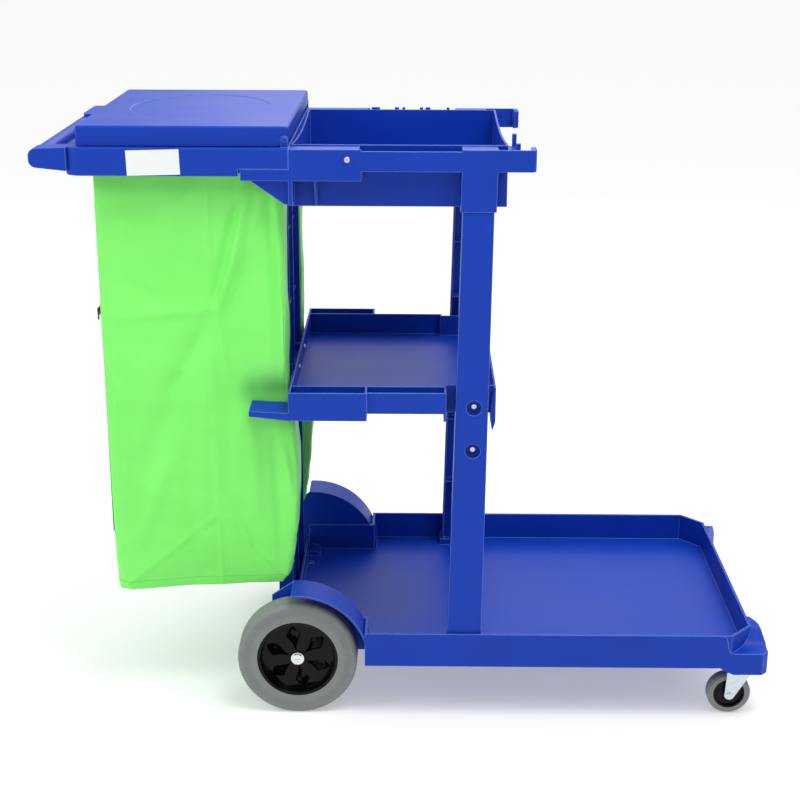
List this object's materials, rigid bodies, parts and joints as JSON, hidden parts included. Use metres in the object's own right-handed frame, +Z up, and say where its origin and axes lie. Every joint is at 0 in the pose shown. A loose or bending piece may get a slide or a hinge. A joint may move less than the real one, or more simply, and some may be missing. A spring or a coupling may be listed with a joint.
{
  "type": "housekeeping cart",
  "caption": "Moulded housekeeping cart with base platform, middle shelf, top bin, push handle, hinged lid over a hanging zip bag, large rear wheels and swivel casters.",
  "frame": {"origin": "on the floor, under the middle of the cart's overall length and width", "axes": "+X from the push handle to the casters, +Y to the far side (away from the side with the label), +Z up"},
  "size_m": [1.168, 0.528, 0.9745],
  "materials": {
    "blue_polypropylene": "moulded, satin, fine grain",
    "lime_coated_fabric": "coated woven polyester, soft sheen",
    "lime_zip_tape": "woven tape with a nylon coil, dyed to match the bag",
    "black_zip_metal": "black painted die casting",
    "grey_tyre_rubber": "grey solid rubber, moulded",
    "black_hub_plastic": "black moulded, glossy",
    "zinc_steel": "bright zinc plated pressed steel",
    "chrome_cap": "bright plated",
    "white_label": "printed vinyl label, left blank"
  },
  "bodies": {
    "cart": {"base_platform": "blue_polypropylene", "front_post_far": "blue_polypropylene", "front_post_near": "blue_polypropylene", "rear_upright": "blue_polypropylene", "middle_shelf": "blue_polypropylene", "top_tray": "blue_polypropylene", "shelf_pockets_near": "blue_polypropylene", "shelf_pocket_far": "blue_polypropylene", "bag_frame": "blue_polypropylene", "lid_pins": "blue_polypropylene", "collection_bag": "lime_coated_fabric", "zip_tape": "lime_zip_tape", "rail_screws": "zinc_steel", "post_shelf_screws": "zinc_steel", "post_spare_screws": "zinc_steel", "shelf_upright_screws": "zinc_steel", "tray_upright_screws": "zinc_steel", "foot_screws": "zinc_steel", "label_plate": "white_label", "rear_axle_far": "zinc_steel", "axle_cap_far": "chrome_cap", "caster_stem_far": "zinc_steel", "rear_axle_near": "zinc_steel", "axle_cap_near": "chrome_cap", "caster_stem_near": "zinc_steel"},
    "lid": {"lid": "blue_polypropylene"},
    "zip_runner": {"zip_slider": "black_zip_metal", "zip_pull": "black_zip_metal"},
    "rear_wheel_far": {"rear_hub_far": "black_hub_plastic", "rear_tyre_far": "grey_tyre_rubber"},
    "caster_swivel_far": {"caster_fork_far": "zinc_steel", "caster_bolt_far": "zinc_steel"},
    "caster_wheel_far": {"caster_core_far": "black_hub_plastic", "caster_tyre_far": "grey_tyre_rubber"},
    "rear_wheel_near": {"rear_hub_near": "black_hub_plastic", "rear_tyre_near": "grey_tyre_rubber"},
    "caster_swivel_near": {"caster_fork_near": "zinc_steel", "caster_bolt_near": "zinc_steel"},
    "caster_wheel_near": {"caster_core_near": "black_hub_plastic", "caster_tyre_near": "grey_tyre_rubber"}
  },
  "joints": [
    {"name": "lid_hinge", "type": "hinge", "parent": "cart", "child": "lid", "pos_m": [-0.198, 0, 0.955], "axis": [0, 1, 0], "range_deg": [0, 105]},
    {"name": "zip_slide", "type": "slide", "parent": "cart", "child": "zip_runner", "axis": [0, 0, 1], "range_m": [-0.356, 0.154]},
    {"name": "rear_wheel_far_spin", "type": "hinge", "parent": "cart", "child": "rear_wheel_far", "pos_m": [-0.192, 0, 0.099], "axis": [0, 1, 0], "continuous": true},
    {"name": "caster_far_swivel", "type": "hinge", "parent": "cart", "child": "caster_swivel_far", "pos_m": [0.548, 0.229, 0], "axis": [0, 0, 1], "continuous": true},
    {"name": "caster_far_spin", "type": "hinge", "parent": "caster_swivel_far", "child": "caster_wheel_far", "pos_m": [0.528, 0.229, 0.036], "axis": [0, 1, 0], "continuous": true},
    {"name": "rear_wheel_near_spin", "type": "hinge", "parent": "cart", "child": "rear_wheel_near", "pos_m": [-0.192, 0, 0.099], "axis": [0, 1, 0], "continuous": true},
    {"name": "caster_near_swivel", "type": "hinge", "parent": "cart", "child": "caster_swivel_near", "pos_m": [0.548, -0.229, 0], "axis": [0, 0, 1], "continuous": true},
    {"name": "caster_near_spin", "type": "hinge", "parent": "caster_swivel_near", "child": "caster_wheel_near", "pos_m": [0.528, -0.229, 0.036], "axis": [0, 1, 0], "continuous": true}
  ]
}
